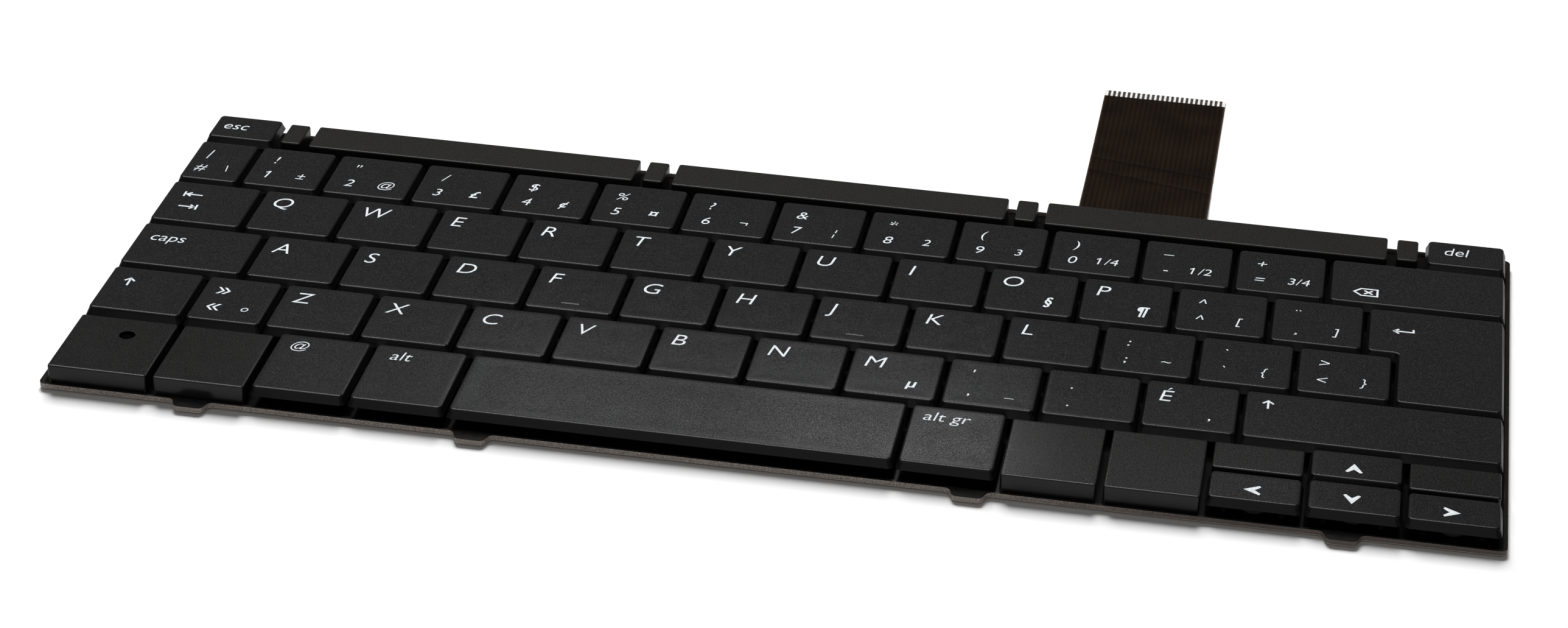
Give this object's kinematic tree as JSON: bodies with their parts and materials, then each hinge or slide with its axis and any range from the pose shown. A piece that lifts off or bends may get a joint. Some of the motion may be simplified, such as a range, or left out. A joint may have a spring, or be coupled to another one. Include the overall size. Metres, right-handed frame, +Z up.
{
  "type": "scanner control keyboard",
  "caption": "Thin black keyboard module with low scissor keys, fixed blank fillers, a pressed tray with front locating tabs and a flat ribbon tail out of its back.",
  "frame": {"origin": "centre of the tray's flat underside", "axes": "+X along the key rows to the right, +Y to the back edge with the ribbon tail, +Z up through the key tops"},
  "size_m": [0.2554, 0.1655, 0.0048],
  "materials": {
    "coated_steel": "black coat over pressed steel, brown-grey at the sheared edge",
    "printed_film": "dark printed polyester film",
    "dome_rubber": "moulded silicone",
    "link_plastic": "black acetal",
    "filler_plastic": "moulded black, fine spark grain",
    "cap_plastic": "moulded black, fine spark grain, white printed legends"
  },
  "bodies": {
    "base": {"base_tray": "coated_steel", "digit_keys": "cap_plastic", "filler_blocks": "filler_plastic", "rubber_domes": "dome_rubber", "scissor_links": "link_plastic", "switch_membrane": "printed_film"},
    "key_a": {"key_a": "cap_plastic"},
    "key_alt": {"key_alt": "cap_plastic"},
    "key_alt_right": {"key_alt_right": "cap_plastic"},
    "key_angle": {"key_angle": "cap_plastic"},
    "key_at": {"key_at": "cap_plastic"},
    "key_b": {"key_b": "cap_plastic"},
    "key_backspace": {"key_backspace": "cap_plastic"},
    "key_c": {"key_c": "cap_plastic"},
    "key_caps_lock": {"key_caps_lock": "cap_plastic"},
    "key_caret": {"key_caret": "cap_plastic"},
    "key_comma": {"key_comma": "cap_plastic"},
    "key_d": {"key_d": "cap_plastic"},
    "key_delete": {"key_delete": "cap_plastic"},
    "key_diaeresis": {"key_diaeresis": "cap_plastic"},
    "key_down": {"key_down": "cap_plastic"},
    "key_e": {"key_e": "cap_plastic"},
    "key_e_acute": {"key_e_acute": "cap_plastic"},
    "key_enter": {"key_enter": "cap_plastic"},
    "key_equals": {"key_equals": "cap_plastic"},
    "key_esc": {"key_esc": "cap_plastic"},
    "key_f": {"key_f": "cap_plastic"},
    "key_g": {"key_g": "cap_plastic"},
    "key_grave": {"key_grave": "cap_plastic"},
    "key_guillemet": {"key_guillemet": "cap_plastic"},
    "key_h": {"key_h": "cap_plastic"},
    "key_hash": {"key_hash": "cap_plastic"},
    "key_i": {"key_i": "cap_plastic"},
    "key_j": {"key_j": "cap_plastic"},
    "key_k": {"key_k": "cap_plastic"},
    "key_l": {"key_l": "cap_plastic"},
    "key_left": {"key_left": "cap_plastic"},
    "key_left_shift": {"key_left_shift": "cap_plastic"},
    "key_m": {"key_m": "cap_plastic"},
    "key_minus": {"key_minus": "cap_plastic"},
    "key_n": {"key_n": "cap_plastic"},
    "key_o": {"key_o": "cap_plastic"},
    "key_p": {"key_p": "cap_plastic"},
    "key_period": {"key_period": "cap_plastic"},
    "key_q": {"key_q": "cap_plastic"},
    "key_r": {"key_r": "cap_plastic"},
    "key_right": {"key_right": "cap_plastic"},
    "key_right_shift": {"key_right_shift": "cap_plastic"},
    "key_s": {"key_s": "cap_plastic"},
    "key_semicolon": {"key_semicolon": "cap_plastic"},
    "key_space": {"key_space": "cap_plastic"},
    "key_t": {"key_t": "cap_plastic"},
    "key_tab": {"key_tab": "cap_plastic"},
    "key_u": {"key_u": "cap_plastic"},
    "key_up": {"key_up": "cap_plastic"},
    "key_v": {"key_v": "cap_plastic"},
    "key_w": {"key_w": "cap_plastic"},
    "key_x": {"key_x": "cap_plastic"},
    "key_y": {"key_y": "cap_plastic"},
    "key_z": {"key_z": "cap_plastic"}
  },
  "joints": [
    {"name": "key_a_press", "type": "slide", "parent": "base", "child": "key_a", "axis": [0, 0, -1], "range_m": [0, 0.00165], "stiffness_N_per_m": 350, "deforming": ["rubber_domes", "scissor_links"]},
    {"name": "key_alt_press", "type": "slide", "parent": "base", "child": "key_alt", "axis": [0, 0, -1], "range_m": [0, 0.00165], "stiffness_N_per_m": 350, "deforming": ["rubber_domes", "scissor_links"]},
    {"name": "key_alt_right_press", "type": "slide", "parent": "base", "child": "key_alt_right", "axis": [0, 0, -1], "range_m": [0, 0.00165], "stiffness_N_per_m": 350, "deforming": ["rubber_domes", "scissor_links"]},
    {"name": "key_angle_press", "type": "slide", "parent": "base", "child": "key_angle", "axis": [0, 0, -1], "range_m": [0, 0.00165], "stiffness_N_per_m": 350, "deforming": ["rubber_domes", "scissor_links"]},
    {"name": "key_at_press", "type": "slide", "parent": "base", "child": "key_at", "axis": [0, 0, -1], "range_m": [0, 0.00165], "stiffness_N_per_m": 350, "deforming": ["rubber_domes", "scissor_links"]},
    {"name": "key_b_press", "type": "slide", "parent": "base", "child": "key_b", "axis": [0, 0, -1], "range_m": [0, 0.00165], "stiffness_N_per_m": 350, "deforming": ["rubber_domes", "scissor_links"]},
    {"name": "key_backspace_press", "type": "slide", "parent": "base", "child": "key_backspace", "axis": [0, 0, -1], "range_m": [0, 0.00165], "stiffness_N_per_m": 350, "deforming": ["rubber_domes", "scissor_links"]},
    {"name": "key_c_press", "type": "slide", "parent": "base", "child": "key_c", "axis": [0, 0, -1], "range_m": [0, 0.00165], "stiffness_N_per_m": 350, "deforming": ["rubber_domes", "scissor_links"]},
    {"name": "key_caps_lock_press", "type": "slide", "parent": "base", "child": "key_caps_lock", "axis": [0, 0, -1], "range_m": [0, 0.00165], "stiffness_N_per_m": 350, "deforming": ["rubber_domes", "scissor_links"]},
    {"name": "key_caret_press", "type": "slide", "parent": "base", "child": "key_caret", "axis": [0, 0, -1], "range_m": [0, 0.00165], "stiffness_N_per_m": 350, "deforming": ["rubber_domes", "scissor_links"]},
    {"name": "key_comma_press", "type": "slide", "parent": "base", "child": "key_comma", "axis": [0, 0, -1], "range_m": [0, 0.00165], "stiffness_N_per_m": 350, "deforming": ["rubber_domes", "scissor_links"]},
    {"name": "key_d_press", "type": "slide", "parent": "base", "child": "key_d", "axis": [0, 0, -1], "range_m": [0, 0.00165], "stiffness_N_per_m": 350, "deforming": ["rubber_domes", "scissor_links"]},
    {"name": "key_delete_press", "type": "slide", "parent": "base", "child": "key_delete", "axis": [0, 0, -1], "range_m": [0, 0.00165], "stiffness_N_per_m": 350, "deforming": ["rubber_domes", "scissor_links"]},
    {"name": "key_diaeresis_press", "type": "slide", "parent": "base", "child": "key_diaeresis", "axis": [0, 0, -1], "range_m": [0, 0.00165], "stiffness_N_per_m": 350, "deforming": ["rubber_domes", "scissor_links"]},
    {"name": "key_down_press", "type": "slide", "parent": "base", "child": "key_down", "axis": [0, 0, -1], "range_m": [0, 0.00165], "stiffness_N_per_m": 350, "deforming": ["rubber_domes", "scissor_links"]},
    {"name": "key_e_press", "type": "slide", "parent": "base", "child": "key_e", "axis": [0, 0, -1], "range_m": [0, 0.00165], "stiffness_N_per_m": 350, "deforming": ["rubber_domes", "scissor_links"]},
    {"name": "key_e_acute_press", "type": "slide", "parent": "base", "child": "key_e_acute", "axis": [0, 0, -1], "range_m": [0, 0.00165], "stiffness_N_per_m": 350, "deforming": ["rubber_domes", "scissor_links"]},
    {"name": "key_enter_press", "type": "slide", "parent": "base", "child": "key_enter", "axis": [0, 0, -1], "range_m": [0, 0.00165], "stiffness_N_per_m": 350, "deforming": ["rubber_domes", "scissor_links"]},
    {"name": "key_equals_press", "type": "slide", "parent": "base", "child": "key_equals", "axis": [0, 0, -1], "range_m": [0, 0.00165], "stiffness_N_per_m": 350, "deforming": ["rubber_domes", "scissor_links"]},
    {"name": "key_esc_press", "type": "slide", "parent": "base", "child": "key_esc", "axis": [0, 0, -1], "range_m": [0, 0.00165], "stiffness_N_per_m": 350, "deforming": ["rubber_domes", "scissor_links"]},
    {"name": "key_f_press", "type": "slide", "parent": "base", "child": "key_f", "axis": [0, 0, -1], "range_m": [0, 0.00165], "stiffness_N_per_m": 350, "deforming": ["rubber_domes", "scissor_links"]},
    {"name": "key_g_press", "type": "slide", "parent": "base", "child": "key_g", "axis": [0, 0, -1], "range_m": [0, 0.00165], "stiffness_N_per_m": 350, "deforming": ["rubber_domes", "scissor_links"]},
    {"name": "key_grave_press", "type": "slide", "parent": "base", "child": "key_grave", "axis": [0, 0, -1], "range_m": [0, 0.00165], "stiffness_N_per_m": 350, "deforming": ["rubber_domes", "scissor_links"]},
    {"name": "key_guillemet_press", "type": "slide", "parent": "base", "child": "key_guillemet", "axis": [0, 0, -1], "range_m": [0, 0.00165], "stiffness_N_per_m": 350, "deforming": ["rubber_domes", "scissor_links"]},
    {"name": "key_h_press", "type": "slide", "parent": "base", "child": "key_h", "axis": [0, 0, -1], "range_m": [0, 0.00165], "stiffness_N_per_m": 350, "deforming": ["rubber_domes", "scissor_links"]},
    {"name": "key_hash_press", "type": "slide", "parent": "base", "child": "key_hash", "axis": [0, 0, -1], "range_m": [0, 0.00165], "stiffness_N_per_m": 350, "deforming": ["rubber_domes", "scissor_links"]},
    {"name": "key_i_press", "type": "slide", "parent": "base", "child": "key_i", "axis": [0, 0, -1], "range_m": [0, 0.00165], "stiffness_N_per_m": 350, "deforming": ["rubber_domes", "scissor_links"]},
    {"name": "key_j_press", "type": "slide", "parent": "base", "child": "key_j", "axis": [0, 0, -1], "range_m": [0, 0.00165], "stiffness_N_per_m": 350, "deforming": ["rubber_domes", "scissor_links"]},
    {"name": "key_k_press", "type": "slide", "parent": "base", "child": "key_k", "axis": [0, 0, -1], "range_m": [0, 0.00165], "stiffness_N_per_m": 350, "deforming": ["rubber_domes", "scissor_links"]},
    {"name": "key_l_press", "type": "slide", "parent": "base", "child": "key_l", "axis": [0, 0, -1], "range_m": [0, 0.00165], "stiffness_N_per_m": 350, "deforming": ["rubber_domes", "scissor_links"]},
    {"name": "key_left_press", "type": "slide", "parent": "base", "child": "key_left", "axis": [0, 0, -1], "range_m": [0, 0.00165], "stiffness_N_per_m": 350, "deforming": ["rubber_domes", "scissor_links"]},
    {"name": "key_left_shift_press", "type": "slide", "parent": "base", "child": "key_left_shift", "axis": [0, 0, -1], "range_m": [0, 0.00165], "stiffness_N_per_m": 350, "deforming": ["rubber_domes", "scissor_links"]},
    {"name": "key_m_press", "type": "slide", "parent": "base", "child": "key_m", "axis": [0, 0, -1], "range_m": [0, 0.00165], "stiffness_N_per_m": 350, "deforming": ["rubber_domes", "scissor_links"]},
    {"name": "key_minus_press", "type": "slide", "parent": "base", "child": "key_minus", "axis": [0, 0, -1], "range_m": [0, 0.00165], "stiffness_N_per_m": 350, "deforming": ["rubber_domes", "scissor_links"]},
    {"name": "key_n_press", "type": "slide", "parent": "base", "child": "key_n", "axis": [0, 0, -1], "range_m": [0, 0.00165], "stiffness_N_per_m": 350, "deforming": ["rubber_domes", "scissor_links"]},
    {"name": "key_o_press", "type": "slide", "parent": "base", "child": "key_o", "axis": [0, 0, -1], "range_m": [0, 0.00165], "stiffness_N_per_m": 350, "deforming": ["rubber_domes", "scissor_links"]},
    {"name": "key_p_press", "type": "slide", "parent": "base", "child": "key_p", "axis": [0, 0, -1], "range_m": [0, 0.00165], "stiffness_N_per_m": 350, "deforming": ["rubber_domes", "scissor_links"]},
    {"name": "key_period_press", "type": "slide", "parent": "base", "child": "key_period", "axis": [0, 0, -1], "range_m": [0, 0.00165], "stiffness_N_per_m": 350, "deforming": ["rubber_domes", "scissor_links"]},
    {"name": "key_q_press", "type": "slide", "parent": "base", "child": "key_q", "axis": [0, 0, -1], "range_m": [0, 0.00165], "stiffness_N_per_m": 350, "deforming": ["rubber_domes", "scissor_links"]},
    {"name": "key_r_press", "type": "slide", "parent": "base", "child": "key_r", "axis": [0, 0, -1], "range_m": [0, 0.00165], "stiffness_N_per_m": 350, "deforming": ["rubber_domes", "scissor_links"]},
    {"name": "key_right_press", "type": "slide", "parent": "base", "child": "key_right", "axis": [0, 0, -1], "range_m": [0, 0.00165], "stiffness_N_per_m": 350, "deforming": ["rubber_domes", "scissor_links"]},
    {"name": "key_right_shift_press", "type": "slide", "parent": "base", "child": "key_right_shift", "axis": [0, 0, -1], "range_m": [0, 0.00165], "stiffness_N_per_m": 350, "deforming": ["rubber_domes", "scissor_links"]},
    {"name": "key_s_press", "type": "slide", "parent": "base", "child": "key_s", "axis": [0, 0, -1], "range_m": [0, 0.00165], "stiffness_N_per_m": 350, "deforming": ["rubber_domes", "scissor_links"]},
    {"name": "key_semicolon_press", "type": "slide", "parent": "base", "child": "key_semicolon", "axis": [0, 0, -1], "range_m": [0, 0.00165], "stiffness_N_per_m": 350, "deforming": ["rubber_domes", "scissor_links"]},
    {"name": "key_space_press", "type": "slide", "parent": "base", "child": "key_space", "axis": [0, 0, -1], "range_m": [0, 0.00165], "stiffness_N_per_m": 350, "deforming": ["rubber_domes", "scissor_links"]},
    {"name": "key_t_press", "type": "slide", "parent": "base", "child": "key_t", "axis": [0, 0, -1], "range_m": [0, 0.00165], "stiffness_N_per_m": 350, "deforming": ["rubber_domes", "scissor_links"]},
    {"name": "key_tab_press", "type": "slide", "parent": "base", "child": "key_tab", "axis": [0, 0, -1], "range_m": [0, 0.00165], "stiffness_N_per_m": 350, "deforming": ["rubber_domes", "scissor_links"]},
    {"name": "key_u_press", "type": "slide", "parent": "base", "child": "key_u", "axis": [0, 0, -1], "range_m": [0, 0.00165], "stiffness_N_per_m": 350, "deforming": ["rubber_domes", "scissor_links"]},
    {"name": "key_up_press", "type": "slide", "parent": "base", "child": "key_up", "axis": [0, 0, -1], "range_m": [0, 0.00165], "stiffness_N_per_m": 350, "deforming": ["rubber_domes", "scissor_links"]},
    {"name": "key_v_press", "type": "slide", "parent": "base", "child": "key_v", "axis": [0, 0, -1], "range_m": [0, 0.00165], "stiffness_N_per_m": 350, "deforming": ["rubber_domes", "scissor_links"]},
    {"name": "key_w_press", "type": "slide", "parent": "base", "child": "key_w", "axis": [0, 0, -1], "range_m": [0, 0.00165], "stiffness_N_per_m": 350, "deforming": ["rubber_domes", "scissor_links"]},
    {"name": "key_x_press", "type": "slide", "parent": "base", "child": "key_x", "axis": [0, 0, -1], "range_m": [0, 0.00165], "stiffness_N_per_m": 350, "deforming": ["rubber_domes", "scissor_links"]},
    {"name": "key_y_press", "type": "slide", "parent": "base", "child": "key_y", "axis": [0, 0, -1], "range_m": [0, 0.00165], "stiffness_N_per_m": 350, "deforming": ["rubber_domes", "scissor_links"]},
    {"name": "key_z_press", "type": "slide", "parent": "base", "child": "key_z", "axis": [0, 0, -1], "range_m": [0, 0.00165], "stiffness_N_per_m": 350, "deforming": ["rubber_domes", "scissor_links"]}
  ]
}
